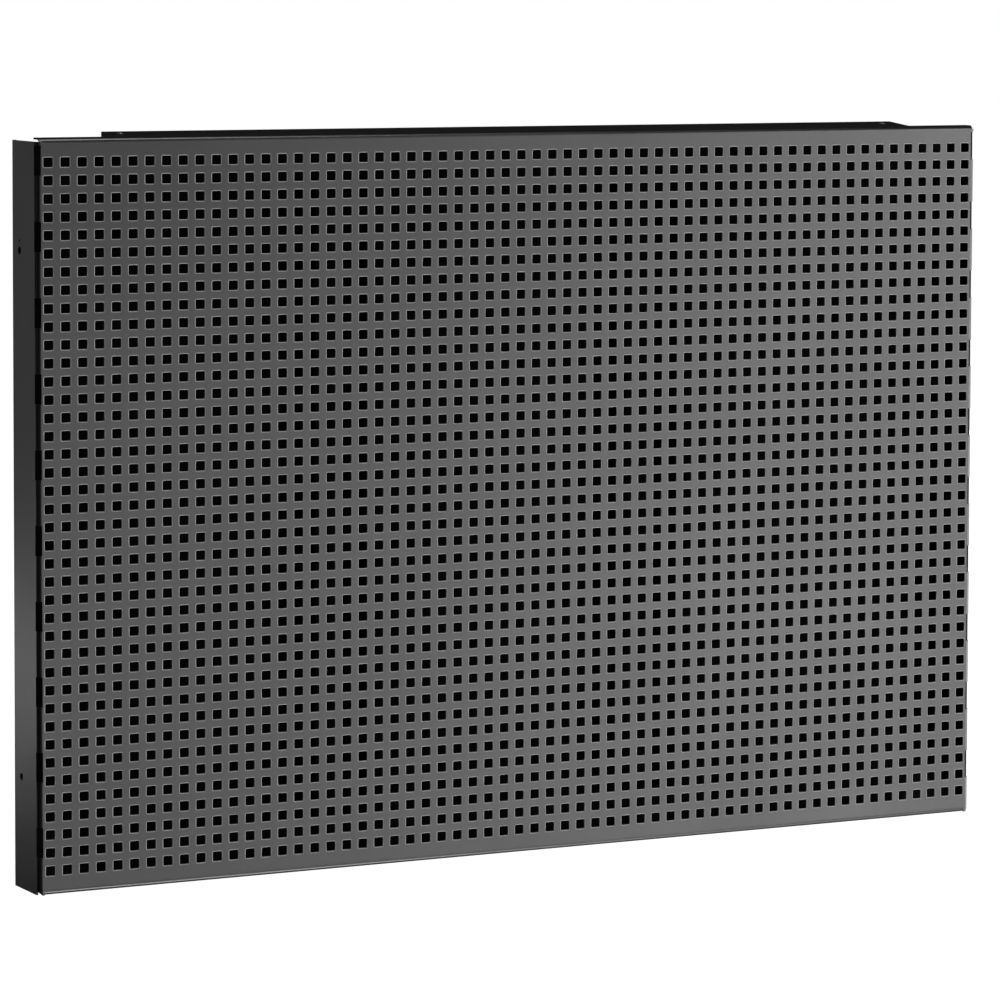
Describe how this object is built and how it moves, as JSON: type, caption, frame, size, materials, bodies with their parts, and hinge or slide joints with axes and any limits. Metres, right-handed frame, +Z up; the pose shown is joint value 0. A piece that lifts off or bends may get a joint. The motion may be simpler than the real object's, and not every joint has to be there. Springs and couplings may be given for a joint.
{
  "type": "perforated gondola back panel module",
  "caption": "Perforated sheet-steel back panel module with slotted side channels, a raised top rail and a plain rear sheet.",
  "frame": {"origin": "middle of the box's footprint, level with the bottom edge of the side channels", "axes": "+X to the right seen from the perforated front, +Y to the rear, +Z up; the front face is at -Y"},
  "size_m": [0.725, 0.045, 0.5028],
  "materials": {
    "powder_coat": "near-black powder coat with a soft gloss",
    "rivet_aluminium": "bare aluminium blind rivets"
  },
  "bodies": {
    "root": {"perforated_panel": "powder_coat", "left_side_channel": "powder_coat", "right_side_channel": "powder_coat", "top_rail": "powder_coat", "bottom_rail": "powder_coat", "top_left_gusset": "powder_coat", "top_right_gusset": "powder_coat", "bottom_left_gusset": "powder_coat", "bottom_right_gusset": "powder_coat", "left_stiffener": "powder_coat", "right_stiffener": "powder_coat", "rear_panel": "powder_coat", "rear_panel_rivets": "powder_coat", "stiffener_rivets": "powder_coat", "gusset_rivets": "powder_coat", "rail_top_rivets": "rivet_aluminium", "joining_nuts": "powder_coat"}
  },
  "joints": []
}
